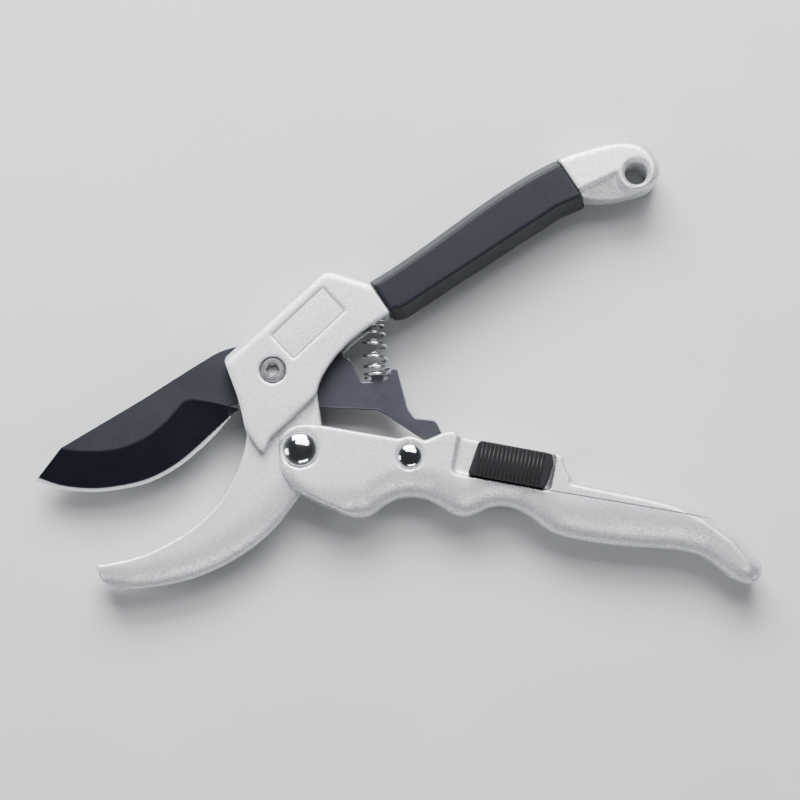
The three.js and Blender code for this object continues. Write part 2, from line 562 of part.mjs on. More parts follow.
// ---- Lock: thumb slider, bar inside the handle and its friction spring ----
const sliderBase = recessFloor + 0.1;
const sliderTop = sliderBase + sliderHeight;
const sliderLine = onLock(rounded([
  [-sliderLong / 2, -sliderWide / 2, 0.8], [sliderLong / 2 - 1.2, -sliderWide / 2, 1.6],
  [sliderLong / 2, sliderWide / 2 - 3, 3], [sliderLong / 2 - 1, sliderWide / 2, 1.2],
  [-sliderLong / 2 + 1.6, sliderWide / 2, 1.4],
]));
const ribs = [];
for (let u = -sliderLong / 2 + 2.4; u < sliderLong / 2 - 2; u += ribPitch)
  ribs.push(plate(onLock(box(u, 0, ribPitch * 0.42, sliderWide + 2)), sliderTop - 0.5, sliderTop + 1));
const slider = cut(
  join(
    plate(sliderLine, sliderBase, sliderTop, [0.5, 0.5, 2]),
    plate(onLock(box(0, 0, stemSize[0], stemSize[1])), -0.6, sliderBase + 0.5),
  ),
  ...ribs,
);
add("lock_slider", slider, blackPlastic);
// A bowed leaf in a pocket of the bar rubs on the channel and holds the lock where it is left.
const leafAt = 9.2;
const leafLong = 8;
const leafRadius = 8.5;
const leafWide = 2;
const pocketDepth = 1.1;
const leafCrest = -barTop - 0.22;
const leafArc = (r, from, to) => arc([leafAt, leafCrest + leafRadius], r, from, to, 8);
const leaf = plate([...leafArc(leafRadius, 242, 298), ...leafArc(leafRadius - 0.25, 298, 242)], -leafWide / 2, leafWide / 2)
  .rotate([90, 0, 0]).rotate([0, 0, slideAngle - 180]).translate([...lockCentre, 0]);
add("lock_leaf", leaf, steel);
add("lock_bar", cut(
  plate(barLine(0, 0), -barTop, barTop),
  plate(onLock(box(0, 0, stemSize[0] + 0.4, stemSize[1] + 0.4)), -0.8, barTop + 1),
  plate(onLock(box(leafAt, 0, leafLong + 0.8, leafWide + 0.4)), -barTop - 1, -barTop + pocketDepth),
), steel);

const bounds = new THREE.Box3().setFromObject(group);
const centre = bounds.getCenter(new THREE.Vector3());
group.position.set(-centre.x, -centre.y, -bounds.min.z);

export default group;
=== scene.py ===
# Ratchet pruning shears lying open on their rear face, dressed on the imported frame. Metres.
import json
import math

import bmesh
import bpy
import numpy as np
from mathutils import Matrix, Vector

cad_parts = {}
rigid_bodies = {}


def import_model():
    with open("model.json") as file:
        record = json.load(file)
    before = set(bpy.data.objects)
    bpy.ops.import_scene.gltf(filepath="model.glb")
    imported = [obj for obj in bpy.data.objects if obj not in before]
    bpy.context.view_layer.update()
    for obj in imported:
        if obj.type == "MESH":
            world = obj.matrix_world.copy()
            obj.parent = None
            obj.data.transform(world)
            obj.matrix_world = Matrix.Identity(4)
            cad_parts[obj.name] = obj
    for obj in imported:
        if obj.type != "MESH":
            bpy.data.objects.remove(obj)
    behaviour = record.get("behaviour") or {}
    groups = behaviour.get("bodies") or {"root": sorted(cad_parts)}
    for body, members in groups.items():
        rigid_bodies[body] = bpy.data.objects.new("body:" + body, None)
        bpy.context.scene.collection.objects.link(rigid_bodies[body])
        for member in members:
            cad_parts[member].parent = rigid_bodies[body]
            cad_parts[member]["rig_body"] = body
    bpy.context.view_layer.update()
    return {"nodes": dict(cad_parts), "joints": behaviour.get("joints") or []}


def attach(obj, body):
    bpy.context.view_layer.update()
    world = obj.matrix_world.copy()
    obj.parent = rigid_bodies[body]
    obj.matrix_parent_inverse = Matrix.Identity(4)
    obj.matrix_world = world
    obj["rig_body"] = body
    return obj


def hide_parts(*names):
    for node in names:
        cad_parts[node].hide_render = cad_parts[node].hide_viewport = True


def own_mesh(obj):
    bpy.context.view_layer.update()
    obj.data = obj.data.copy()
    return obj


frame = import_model()

MM = 0.001
joints = {joint["name"]: joint for joint in frame["joints"]}
PIVOT = Vector(joints["blade_pivot"]["pos_m"])  # blade pivot, on the blade's middle plane


def spot(x, y, z=0.0):
    """A place given in millimetres from the blade pivot, as a point of the frame."""
    return PIVOT + Vector((x, y, z)) * MM


# ---------------------------------------------------------------- node helpers
def join_or_set(tree, node, values):
    """Joins each socket to the one given for it, or sets it to the value given."""
    for socket, value in values.items():
        if isinstance(value, bpy.types.NodeSocket):
            tree.links.new(value, node.inputs[socket])
        else:
            node.inputs[socket].default_value = value


def add_node(tree, kind, values=None, **settings):
    """A node with its settings, and its sockets joined or set."""
    made = tree.nodes.new(kind)
    for key, value in settings.items():
        setattr(made, key, value)
    join_or_set(tree, made, values or {})
    return made


def effect(name, inputs, outputs):
    """An empty shader node group with named sockets, and its two end nodes."""
    group = bpy.data.node_groups.new(name, "ShaderNodeTree")
    for label, value in inputs:
        kind = "NodeSocketVector" if value is None else "NodeSocketFloat"
        socket = group.interface.new_socket(label, in_out="INPUT", socket_type=kind)
        if value is not None:
            socket.default_value = value
    for label in outputs:
        group.interface.new_socket(label, in_out="OUTPUT", socket_type="NodeSocketFloat")
    return group, group.nodes.new("NodeGroupInput").outputs, group.nodes.new("NodeGroupOutput").inputs


def math_node(tree, operation, a, b=0.0, c=None, clamp=False):
    """The result of one sum on values or sockets."""
    values = {0: a, 1: b}
    if c is not None:
        values[2] = c
    return add_node(tree, "ShaderNodeMath", values, operation=operation, use_clamp=clamp).outputs[0]


def ramp(tree, value, low, high, to_low=0.0, to_high=1.0, smooth=False):
    """A value carried from the range low to high over to the range to_low to to_high."""
    return add_node(tree, "ShaderNodeMapRange", {0: value, 1: low, 2: high, 3: to_low, 4: to_high},
                    interpolation_type="SMOOTHSTEP" if smooth else "LINEAR").outputs[0]


def tint(tree, factor, dark, light):
    """A colour between dark and light."""
    return add_node(tree, "ShaderNodeMix", {0: factor, 6: (*dark, 1), 7: (*light, 1)},
                    data_type="RGBA").outputs[2]


# ---------------------------------------------------------------- effects shared by finishes
def make_hammered_grain():
    """Cells of hammered paint: a light value for each cell, and its height."""
    group, given, out = effect("hammered_grain", [("Vector", None), ("Grain", 1500.0), ("Softness", 0.5)],
                               ["Flake", "Height"])
    cells = add_node(group, "ShaderNodeTexVoronoi", {"Vector": given["Vector"], "Scale": given["Grain"]},
                     feature="F1")
    fine = add_node(group, "ShaderNodeTexNoise", {"Vector": given["Vector"],
                                                  "Scale": given["Grain"], "Detail": 2.0})
    flake = add_node(group, "ShaderNodeSeparateColor", {0: cells.outputs["Color"]}).outputs[0]
    mixed = add_node(group, "ShaderNodeMix", {0: given["Softness"], 2: flake, 3: fine.outputs[0]})
    bumps = math_node(group, "SUBTRACT", 1.0, cells.outputs["Distance"])
    group.links.new(mixed.outputs[0], out["Flake"])
    group.links.new(math_node(group, "MULTIPLY_ADD", bumps, 0.5, fine.outputs[0]), out["Height"])
    return group


def make_handling():
    """Broad, soft marks of handling, between a low and a high value."""
    group, given, out = effect("handling_marks", [("Vector", None), ("Spread", 60.0), ("Low", 0.0),
                                                  ("High", 1.0)], ["Value"])
    cloud = add_node(group, "ShaderNodeTexNoise", {"Vector": given["Vector"], "Scale": given["Spread"],
                                                   "Detail": 4.0, "Roughness": 0.6})
    group.links.new(ramp(group, cloud.outputs[0], 0.3, 0.7, given["Low"], given["High"]), out["Value"])
    return group


def make_edge_rub():
    """Where a corner stands out enough for its finish to rub thin."""
    group, given, out = effect("edge_rub", [("Vector", None), ("Corner", 0.5), ("Start", 0.53),
                                            ("End", 0.6), ("Breakup", 700.0)], ["Mask"])
    broken = add_node(group, "ShaderNodeTexNoise", {"Vector": given["Vector"], "Scale": given["Breakup"],
                                                    "Detail": 3.0})
    reach = math_node(group, "MULTIPLY_ADD", broken.outputs[0], 0.05, given["Corner"])
    reach = math_node(group, "SUBTRACT", reach, 0.025)
    group.links.new(ramp(group, reach, given["Start"], given["End"]), out["Mask"])
    return group


def make_grinding():
    """Fine parallel lines left by grinding or polishing, along the X of the given vector."""
    group, given, out = effect("grinding_lines", [("Vector", None), ("Fineness", 5000.0), ("Run", 0.03)],
                               ["Line"])
    squeeze = add_node(group, "ShaderNodeCombineXYZ", {0: given["Run"], 1: 1.0, 2: 1.0}).outputs[0]
    drawn = add_node(group, "ShaderNodeVectorMath", {0: given["Vector"], 1: squeeze}, operation="MULTIPLY")
    lines = add_node(group, "ShaderNodeTexNoise", {"Vector": drawn.outputs[0], "Scale": given["Fineness"],
                                                   "Detail": 3.0, "Roughness": 0.7})
    group.links.new(lines.outputs[0], out["Line"])
    return group


HAMMERED = make_hammered_grain()
HANDLING = make_handling()
EDGE_RUB = make_edge_rub()
GRINDING = make_grinding()


def use(tree, group, values):
    """Places a shared effect in a finish's tree with that finish's own values."""
    made = tree.nodes.new("ShaderNodeGroup")
    made.node_tree = group
    join_or_set(tree, made, values)
    return made.outputs


def new_finish(name, metallic, **fixed):
    """A material, its tree, its shader and its Object coordinate."""
    finish = bpy.data.materials.new(name)
    finish.use_nodes = True
    tree = finish.node_tree
    shader = tree.nodes["Principled BSDF"]
    shader.inputs["Metallic"].default_value = metallic
    for socket, value in fixed.items():
        shader.inputs[socket.replace("_", " ")].default_value = value
    place = tree.nodes.new("ShaderNodeTexCoord").outputs["Object"]
    return finish, tree, shader, place


def bump(tree, shader, height, depth, strength=1.0):
    """Raises the surface by height, which is depth millimetres at one."""
    raised = add_node(tree, "ShaderNodeBump", {"Height": height, "Distance": depth * MM,
                                               "Strength": strength})
    tree.links.new(raised.outputs[0], shader.inputs["Normal"])


def silver_paint(rub_from=0.62):
    """Bright hammered paint on a casting, rubbed paler where a corner stands out past rub_from."""
    finish, tree, shader, place = new_finish("silver_hammered_paint", 0.62, Coat_Weight=0.12,
                                             Coat_Roughness=0.25)
    grain = use(tree, HAMMERED, {"Vector": place, "Grain": 3600.0, "Softness": 0.3})
    marks = use(tree, HANDLING, {"Vector": place, "Spread": 55.0, "Low": -0.05, "High": 0.05})
    corner = tree.nodes.new("ShaderNodeNewGeometry").outputs["Pointiness"]
    rub = use(tree, EDGE_RUB, {"Vector": place, "Corner": corner, "Start": rub_from,
                               "End": rub_from + 0.16})
    light = math_node(tree, "ADD", grain["Flake"], marks["Value"], clamp=True)
    paint = tint(tree, light, (0.34, 0.35, 0.40), (0.99, 0.99, 1.0))
    worn = add_node(tree, "ShaderNodeMix", {0: rub["Mask"], 6: paint, 7: (0.93, 0.94, 0.98, 1)},
                    data_type="RGBA").outputs[2]
    tree.links.new(worn, shader.inputs["Base Color"])
    rough = ramp(tree, grain["Flake"], 0.0, 1.0, 0.55, 0.26)
    rough = math_node(tree, "SUBTRACT", rough, math_node(tree, "MULTIPLY", rub["Mask"], 0.08))
    tree.links.new(rough, shader.inputs["Roughness"])
    bump(tree, shader, grain["Height"], 0.045, 0.9)
    return finish, tree, shader, place, grain


def lined(painted, start, end, width, depth):
    """The silver paint with one straight fine line across the front face: bumped in as a shallow furrow, and
    darkened along it as painted shade.
    """
    finish, tree, shader, place, grain = painted
    finish.name = "silver_paint_lower_handle"
    a, b = spot(*start), spot(*end)
    turn_back = -math.atan2(b.y - a.y, b.x - a.x)
    near = add_node(tree, "ShaderNodeVectorMath", {0: place, 1: tuple(a)},
                    operation="SUBTRACT").outputs[0]
    turned = add_node(tree, "ShaderNodeMapping", {0: near, 2: (0, 0, turn_back)}).outputs[0]
    split = add_node(tree, "ShaderNodeSeparateXYZ", {0: turned}).outputs
    off = math_node(tree, "ABSOLUTE", split[1])
    groove_and_shade = ramp(tree, off, width * MM, 0.3 * width * MM)
    inside = math_node(tree, "MULTIPLY", math_node(tree, "GREATER_THAN", split[0], 0.0),
                       math_node(tree, "LESS_THAN", split[0], (b - a).xy.length))
    inside = math_node(tree, "MULTIPLY", inside, math_node(tree, "GREATER_THAN", split[2], -4 * MM))
    groove_and_shade = math_node(tree, "MULTIPLY", groove_and_shade, inside)
    colour = shader.inputs["Base Color"].links[0].from_socket
    # painted shade: the colour darkens along the fine line, standing in for the shade inside the furrow
    dark = add_node(tree, "ShaderNodeMix", {0: math_node(tree, "MULTIPLY", groove_and_shade, 0.85), 6: colour,
                                            7: (0.10, 0.10, 0.13, 1)}, data_type="RGBA").outputs[2]
    tree.links.new(dark, shader.inputs["Base Color"])
    height = math_node(tree, "MULTIPLY_ADD", groove_and_shade, -depth / 0.045, grain["Height"])
    tree.links.new(height, shader.inputs["Normal"].links[0].from_node.inputs["Height"])
    return finish


def blade_coat():
    """Dark coated flats, a glossier ground bevel, and a thin bright honed edge."""
    finish, tree, shader, place = new_finish("blade_dark_coating", 0.6, Coat_Weight=0.06,
                                             Coat_Roughness=0.12)
    geometry = tree.nodes.new("ShaderNodeNewGeometry")
    height = add_node(tree, "ShaderNodeSeparateXYZ", {0: place}).outputs[2]
    height = math_node(tree, "ABSOLUTE", math_node(tree, "SUBTRACT", height, PIVOT.z))
    facing = add_node(tree, "ShaderNodeSeparateXYZ", {0: geometry.outputs["True Normal"]}).outputs[2]
    facing = math_node(tree, "GREATER_THAN", math_node(tree, "ABSOLUTE", facing), 0.8)
    ground = math_node(tree, "MULTIPLY", ramp(tree, height, 1.47 * MM, 1.43 * MM), facing)
    honed = math_node(tree, "MULTIPLY", ramp(tree, height, 0.25 * MM, 0.19 * MM), facing)
    grain = use(tree, HAMMERED, {"Vector": place, "Grain": 2400.0, "Softness": 0.7})
    turned = add_node(tree, "ShaderNodeMapping", {0: place, 2: (0, 0, math.radians(62))}).outputs[0]
    lines = use(tree, GRINDING, {"Vector": turned, "Fineness": 4500.0, "Run": 0.04})
    marks = use(tree, HANDLING, {"Vector": place, "Spread": 70.0, "Low": -0.05, "High": 0.06})
    flat = tint(tree, grain["Flake"], (0.013, 0.0135, 0.019), (0.027, 0.028, 0.037))
    dark = tint(tree, lines["Line"], (0.006, 0.007, 0.011), (0.018, 0.021, 0.034))
    skin = add_node(tree, "ShaderNodeMix", {0: ground, 6: flat, 7: dark}, data_type="RGBA").outputs[2]
    skin = add_node(tree, "ShaderNodeMix", {0: honed, 6: skin, 7: (0.86, 0.88, 0.93, 1)},
                    data_type="RGBA").outputs[2]
    tree.links.new(skin, shader.inputs["Base Color"])
    rough = add_node(tree, "ShaderNodeMix", {0: ground, 2: 0.42, 3: 0.2}).outputs[0]
    rough = math_node(tree, "ADD", rough, marks["Value"])
    tree.links.new(rough, shader.inputs["Roughness"])
    bump(tree, shader, math_node(tree, "ADD", math_node(tree, "MULTIPLY", grain["Height"], 0.5),
                                 math_node(tree, "MULTIPLY", lines["Line"], 0.3)), 0.02, 0.6)
    return finish


def dark_steel(name, dark, light, rough, metallic):
    """Satin dark steel with a faint grain and soft marks of handling."""
    finish, tree, shader, place = new_finish(name, metallic, Coat_Weight=0.1, Coat_Roughness=0.2)
    grain = use(tree, HAMMERED, {"Vector": place, "Grain": 2600.0, "Softness": 0.6})
    marks = use(tree, HANDLING, {"Vector": place, "Spread": 90.0, "Low": rough - 0.05,
                                 "High": rough + 0.06})
    tree.links.new(tint(tree, grain["Flake"], dark, light), shader.inputs["Base Color"])
    tree.links.new(marks["Value"], shader.inputs["Roughness"])
    bump(tree, shader, grain["Height"], 0.015, 0.6)
    return finish


def polished(name, dark, light, low, high, turn=20.0, run=0.05):
    """Bright metal with faint polishing lines and soft finger marks."""
    finish, tree, shader, place = new_finish(name, 1.0)
    turned = add_node(tree, "ShaderNodeMapping", {0: place, 2: (0, 0, math.radians(turn))}).outputs[0]
    lines = use(tree, GRINDING, {"Vector": turned, "Fineness": 6000.0, "Run": run})
    marks = use(tree, HANDLING, {"Vector": place, "Spread": 150.0, "Low": low, "High": high})
    tree.links.new(tint(tree, lines["Line"], dark, light), shader.inputs["Base Color"])
    tree.links.new(marks["Value"], shader.inputs["Roughness"])
    bump(tree, shader, lines["Line"], 0.004, 0.5)
    return finish


def moulded(name, dark, light, low, high, grain_size, depth, gloss):
    """Moulded plastic with a fine spark-eroded grain."""
    finish, tree, shader, place = new_finish(name, 0.0, Specular_IOR_Level=gloss)
    grain = use(tree, HAMMERED, {"Vector": place, "Grain": grain_size, "Softness": 0.6})
    marks = use(tree, HANDLING, {"Vector": place, "Spread": 40.0, "Low": low, "High": high})
    corner = tree.nodes.new("ShaderNodeNewGeometry").outputs["Pointiness"]
    rub = use(tree, EDGE_RUB, {"Vector": place, "Corner": corner, "Start": 0.54, "End": 0.62})
    value = math_node(tree, "MULTIPLY_ADD", rub["Mask"], 0.35, grain["Flake"], clamp=True)
    tree.links.new(tint(tree, value, dark, light), shader.inputs["Base Color"])
    tree.links.new(marks["Value"], shader.inputs["Roughness"])
    bump(tree, shader, grain["Height"], depth, 0.7)
    return finish


SILVER = silver_paint()[0]
SILVER_PANEL = silver_paint(rub_from=2.0)[0]
SILVER_PANEL.name = "silver_paint_panel"
# the lower handle's paint, with one fine line bumped in and darkened as painted shade
SILVER_LINED = lined(silver_paint(), (82.2, -35.9, 8), (131.5, -44.4, 8), 0.28, 0.2)
BLADE = blade_coat()
LINK = dark_steel("link_dark_steel", (0.022, 0.023, 0.034), (0.044, 0.046, 0.062), 0.4, 0.5)
# painted highlight: a lighter, polished metal on the link's chamfers, so that a bright line of highlight runs
# along its edges
LINK_EDGE_HIGHLIGHT = polished("link_chamfer_painted_highlight", (0.09, 0.095, 0.12), (0.19, 0.20, 0.24), 0.28, 0.42, turn=35)
CHROME = polished("bright_chrome", (0.72, 0.73, 0.76), (0.88, 0.89, 0.92), 0.05, 0.13)
SATIN = polished("satin_screw_steel", (0.70, 0.71, 0.73), (0.90, 0.91, 0.93), 0.18, 0.26, run=1.0)
STEEL = polished("plain_steel", (0.38, 0.39, 0.42), (0.56, 0.57, 0.60), 0.25, 0.38, run=1.0)
# painted shade: a flat dark finish on the chamfers round the label plate and the pivot screw's head, standing
# in for the shade in the gaps round them
PAINTED_GROOVE_SHADE = dark_steel("panel_groove_shadow", (0.04, 0.04, 0.05), (0.08, 0.08, 0.10), 0.5, 0.0)
SPRING = polished("spring_wire", (0.50, 0.51, 0.54), (0.74, 0.75, 0.78), 0.16, 0.28, run=1.0)
BRONZE = polished("turned_bronze", (0.36, 0.22, 0.09), (0.56, 0.38, 0.18), 0.3, 0.45, run=1.0)
GRIP = moulded("grip_charcoal_plastic", (0.006, 0.007, 0.011), (0.013, 0.015, 0.022), 0.34, 0.46,
               2600.0, 0.03, 0.18)
BLACK = moulded("slider_black_plastic", (0.003, 0.003, 0.004), (0.009, 0.009, 0.011), 0.36, 0.5,
                3000.0, 0.02, 0.24)


# ---------------------------------------------------------------- mesh helpers
def merged_copy(node):
    """A CAD node's solid as one closed mesh, with its flat faces whole again."""
    work = bmesh.new()
    work.from_mesh(frame["nodes"][node].data)
    bmesh.ops.remove_doubles(work, verts=work.verts, dist=2e-6)
    bmesh.ops.dissolve_limit(work, angle_limit=math.radians(0.4), verts=work.verts, edges=work.edges,
                             use_dissolve_boundaries=False)
    mesh = bpy.data.meshes.new(node)
    work.to_mesh(mesh)
    work.free()
    return mesh


def scene_object(name, mesh):
    """An object at the origin, with its place in its mesh."""
    made = bpy.data.objects.new(name, mesh)
    bpy.context.scene.collection.objects.link(made)
    return made


def plain(obj):
    """The same object as a plain mesh, with its modifiers worked in."""
    bpy.context.view_layer.update()
    graph = bpy.context.evaluated_depsgraph_get()
    mesh = bpy.data.meshes.new_from_object(obj.evaluated_get(graph), depsgraph=graph)
    old = obj.data
    obj.modifiers.clear()
    obj.data = mesh
    bpy.data.meshes.remove(old)
    return obj


def stand_in(obj, node):
    """A finished piece takes the place of its CAD node, on the same body."""
    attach(obj, frame["nodes"][node]["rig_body"])
    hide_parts(node)
    return obj


def crisp_edges(mesh, angle):
    """Keeps corners crisp, and every line where a level face ends in a slope, however slight."""
    work = bmesh.new()
    work.from_mesh(mesh)
    for edge in work.edges:
        if len(edge.link_faces) == 2:
            level = [abs(face.normal.z) > 0.9999 for face in edge.link_faces]
            edge.smooth = edge.calc_face_angle() < math.radians(angle) and level[0] == level[1]
    work.to_mesh(mesh)
    work.free()


def eased(node, finishes, width=0.12, steps=2, angle=32, chamfer_finish=False, clamp=True):
    """A machined or moulded part: its CAD solid with every sharp edge eased."""
    obj = scene_object(node + "_eased", merged_copy(node))
    obj.data.polygons.foreach_set("use_smooth", [True] * len(obj.data.polygons))
    for finish in finishes:
        obj.data.materials.append(finish)
    if width:
        ease = obj.modifiers.new("ease", "BEVEL")
        ease.width, ease.segments = width * MM, steps
        ease.limit_method, ease.angle_limit = "ANGLE", math.radians(angle)
        ease.use_clamp_overlap = clamp
        if chamfer_finish:
            ease.material = 1
    else:
        crisp_edges(obj.data, angle)
    weigh = obj.modifiers.new("weigh", "WEIGHTED_NORMAL")
    weigh.mode, weigh.keep_sharp = "FACE_AREA", True
    return stand_in(plain(obj), node)


def even_skin(obj, grid, soften):
    """The same form in even quads, with its corners softened a little."""
    skin = obj.modifiers.new("skin", "REMESH")
    skin.mode, skin.voxel_size, skin.use_smooth_shade = "VOXEL", grid * MM, True
    skin.adaptivity = 0.0
    soft = obj.modifiers.new("soften", "SMOOTH")
    soft.factor, soft.iterations = 0.5, soften
    return plain(obj)


def roll_over(points, outline, reach, full):
    """Rolls both faces over towards an outline, from the full height down to a wall.

    Each station in reach is (x, width of the roll, height left at the outline), in millimetres.
    """
    line = np.array(outline, float)
    start, run = line[:-1], line[1:] - line[:-1]
    away = points[:, None, :2] - start[None]
    t = np.clip((away * run).sum(2) / (run * run).sum(1), 0, 1)
    distance = np.sqrt((((away - t[..., None] * run) ** 2).sum(2)).min(1))
    stations, widths, walls = zip(*reach)
    width, wall = np.interp(points[:, 0], stations, widths), np.interp(points[:, 0], stations, walls)
    inward = np.clip(1 - distance / width, 0, 1)
    limit = wall + (full - wall) * np.sqrt(1 - inward ** 2)
    points[:, 2] = np.clip(points[:, 2], -limit, limit)


def scoop_cap(points):
    """Below a ridge that runs to the hanging hole, both faces of the end cap fall away.

    A ring stays round the hole, and the scoop dies out before the end of the cap. Millimetres.
    """
    ridge, hole = np.array((91.8, 54.7)), np.array((108.7, 59.5))
    ridge_run = np.array((13.3, 6.5)) / math.hypot(13.3, 6.5)
    ring, ring_fade = 5.0, 1.3  # kept round the hole, and how soon the scoop starts outside it
    scoop_length, end_fade = 19, 5
    step_width, step_depth, slope = 0.9, 1.5, 0.5  # the fall at the ridge, then an even slope
    cap_top = 8.8
    across = points[:, :2] - ridge
    below = across @ np.array((ridge_run[1], -ridge_run[0]))
    from_hole = np.hypot(*(points[:, :2] - hole).T)
    short_of_end = np.clip((scoop_length - across @ ridge_run) / end_fade, 0, 1)
    clear = np.clip((from_hole - ring) / ring_fade, 0, 1) * short_of_end
    step = np.clip(below / step_width, 0, 1)
    depth = step_depth * step * step * (3 - 2 * step) + slope * np.clip(below - step_width, 0, None)
    limit = cap_top - clear * depth
    points[:, 2] = np.clip(points[:, 2], -limit, limit)


def cast(node, finish, grid, soften, rolls=()):
    """A cast or moulded part: its CAD solid with an even, softened skin and its sides rolled over."""
    obj = scene_object(node + "_cast", merged_copy(node))
    even_skin(obj, grid, soften)
    if rolls:
        mesh = obj.data
        points = np.empty(len(mesh.vertices) * 3)
        mesh.vertices.foreach_get("co", points)
        points = (points.reshape(-1, 3) - np.array(PIVOT)) / MM
        for roll in rolls:
            roll(points) if callable(roll) else roll_over(points, *roll)
        mesh.vertices.foreach_set("co", (points * MM + np.array(PIVOT)).ravel())
        mesh.update()
        even_skin(obj, grid, soften)
    obj.data.polygons.foreach_set("use_smooth", [True] * len(obj.data.polygons))
    obj.data.materials.clear()
    obj.data.materials.append(finish)
    return stand_in(obj, node)


# ---------------------------------------------------------------- camera, floor and light
FLOOR = PIVOT.z - 9.3 * MM  # the rear face of the grip
CAMERA_DISTANCE = 0.9
aim = spot(37.87, -8.14)
tilt = math.radians(6.0)
camera_data = bpy.data.cameras.new("camera")
camera_data.lens, camera_data.sensor_width = 135.0, 36.0
camera = bpy.data.objects.new("camera", camera_data)
camera.location = aim + Vector((0, -math.sin(tilt), math.cos(tilt))) * CAMERA_DISTANCE
camera.rotation_euler = (tilt, 0, 0)
bpy.context.scene.collection.objects.link(camera)
bpy.context.scene.camera = camera


def pale_floor():
    """A plain matt ground that the rear face lies on."""
    mesh = bpy.data.meshes.new("floor")
    reach = 3
    mesh.from_pydata([(-reach, -reach, FLOOR), (reach, -reach, FLOOR), (reach, reach, FLOOR),
                      (-reach, reach, FLOOR)], [], [(0, 1, 2, 3)])
    floor = scene_object("floor", mesh)
    finish, tree, shader, place = new_finish("pale_floor", 0.0)
    marks = use(tree, HANDLING, {"Vector": place, "Spread": 9.0, "Low": 0.0, "High": 1.0})
    tree.links.new(tint(tree, marks["Value"], (0.50, 0.51, 0.53), (0.54, 0.55, 0.57)),
                   shader.inputs["Base Color"])
    tree.links.new(ramp(tree, marks["Value"], 0.0, 1.0, 0.62, 0.7), shader.inputs["Roughness"])
    mesh.materials.append(finish)


def soft_box(name, place, size, power):
    """A soft rectangular lamp that faces the tool; its place is in metres from the aim."""
    data = bpy.data.lights.new(name, "AREA")
    data.shape, data.size, data.size_y = "RECTANGLE", size[0], size[1]
    data.energy = power
    lamp = bpy.data.objects.new(name, data)
    lamp.location = aim + Vector(place)
    lamp.rotation_euler = (-Vector(place)).to_track_quat("-Z", "Y").to_euler()
    bpy.context.scene.collection.objects.link(lamp)


pale_floor()
soft_box("key_softbox", (-0.08, 0.72, 0.60), (0.8, 0.42), 27.0)
soft_box("top_softbox", (0.10, 0.62, 1.15), (0.9, 0.45), 13.0)
soft_box("side_fill", (-0.85, -0.10, 0.50), (0.3, 0.5), 3.0)
soft_box("low_strip", (0.12, -0.55, 0.60), (0.45, 0.07), 1.6)
world = bpy.data.worlds.new("studio")
world.use_nodes = True
sky = world.node_tree
direction = sky.nodes.new("ShaderNodeTexCoord").outputs["Generated"]
up = add_node(sky, "ShaderNodeSeparateXYZ", {0: direction}).outputs[2]
sky.links.new(tint(sky, ramp(sky, up, 0.15, 0.85, smooth=True), (0.92, 0.95, 1.0), (0.16, 0.17, 0.20)),
              sky.nodes["Background"].inputs[0])
sky.nodes["Background"].inputs[1].default_value = 0.22
bpy.context.scene.world = world


# ---------------------------------------------------------------- castings and grip
HANDLE_UNDER = [(1.3, -26.2), (2.4, -30.4), (4.8, -34.1), (9, -37.6), (14, -40), (21.5, -42.7), (26.5, -43.6),
                (29.8, -42.6), (32.8, -40.2), (37, -38), (41.5, -37.4), (46.2, -38.2), (50.1, -40.2),
                (53.4, -42.2), (56.7, -43.2), (60, -42.6), (63.8, -40.8), (67.7, -40), (72.2, -40.8),
                (76.7, -43.2), (80.4, -46.1), (84, -48.2), (91.5, -50.2), (106.6, -52.2), (121, -53.2),
                (127, -54.8), (131.4, -57.4), (136.4, -61.4), (139, -62.7), (142, -63.3), (145, -61.2)]
HANDLE_BACK = [(89, -33), (93.6, -34.1), (107.8, -36.8), (118.5, -39.2), (129.1, -43.2), (138, -48.9),
               (143.4, -54.8), (145.5, -58.5), (145, -61.5)]
JAW_OUTER = [(-49.5, -64), (-42, -64.9), (-35.6, -64.3), (-29.3, -63.1), (-21.8, -61), (-15.5, -58.2),
             (-9.2, -54.6), (-3.8, -50.6), (0.4, -46.8), (3.6, -43), (6.4, -39.2), (11, -33.5), (15.6, -25)]
cast("upper_handle", SILVER, 0.42, 3)
cast("counter_jaw", SILVER, 0.36, 3,
     [(JAW_OUTER, [(-52, 5.5, 0.9), (-36, 8, 0.9), (-10, 10, 0.9), (8, 8, 1.5)], 4.7)])
cast("lower_handle", SILVER_LINED, 0.42, 3,
     [(HANDLE_UNDER, [(4, 3, 6.3), (14, 5, 6.2), (20.5, 8, 5.9), (25, 9, 2.4), (84, 10, 2), (104, 12.5, 2),
                      (140, 9, 2)], 8.0),
      (HANDLE_BACK, [(92, 1.2, 3), (122, 1.8, 3), (134, 4, 2.5), (142, 6, 2.5)], 8.0)])
cast("end_cap", SILVER, 0.3, 4, [scoop_cap])
cast("grip_sleeve", GRIP, 0.4, 3)
# the label plate's chamfers take the painted groove shade
eased("label_plate", [SILVER_PANEL, PAINTED_GROOVE_SHADE], 0.34, 1, 40, chamfer_finish=True)

# ---------------------------------------------------------------- blade and link
eased("blade", [BLADE], 0, 1, 30)
# the link's chamfers take the painted edge highlight
eased("ratchet_link", [LINK, LINK_EDGE_HIGHLIGHT], 0.3, 1, 60, chamfer_finish=True, clamp=False)

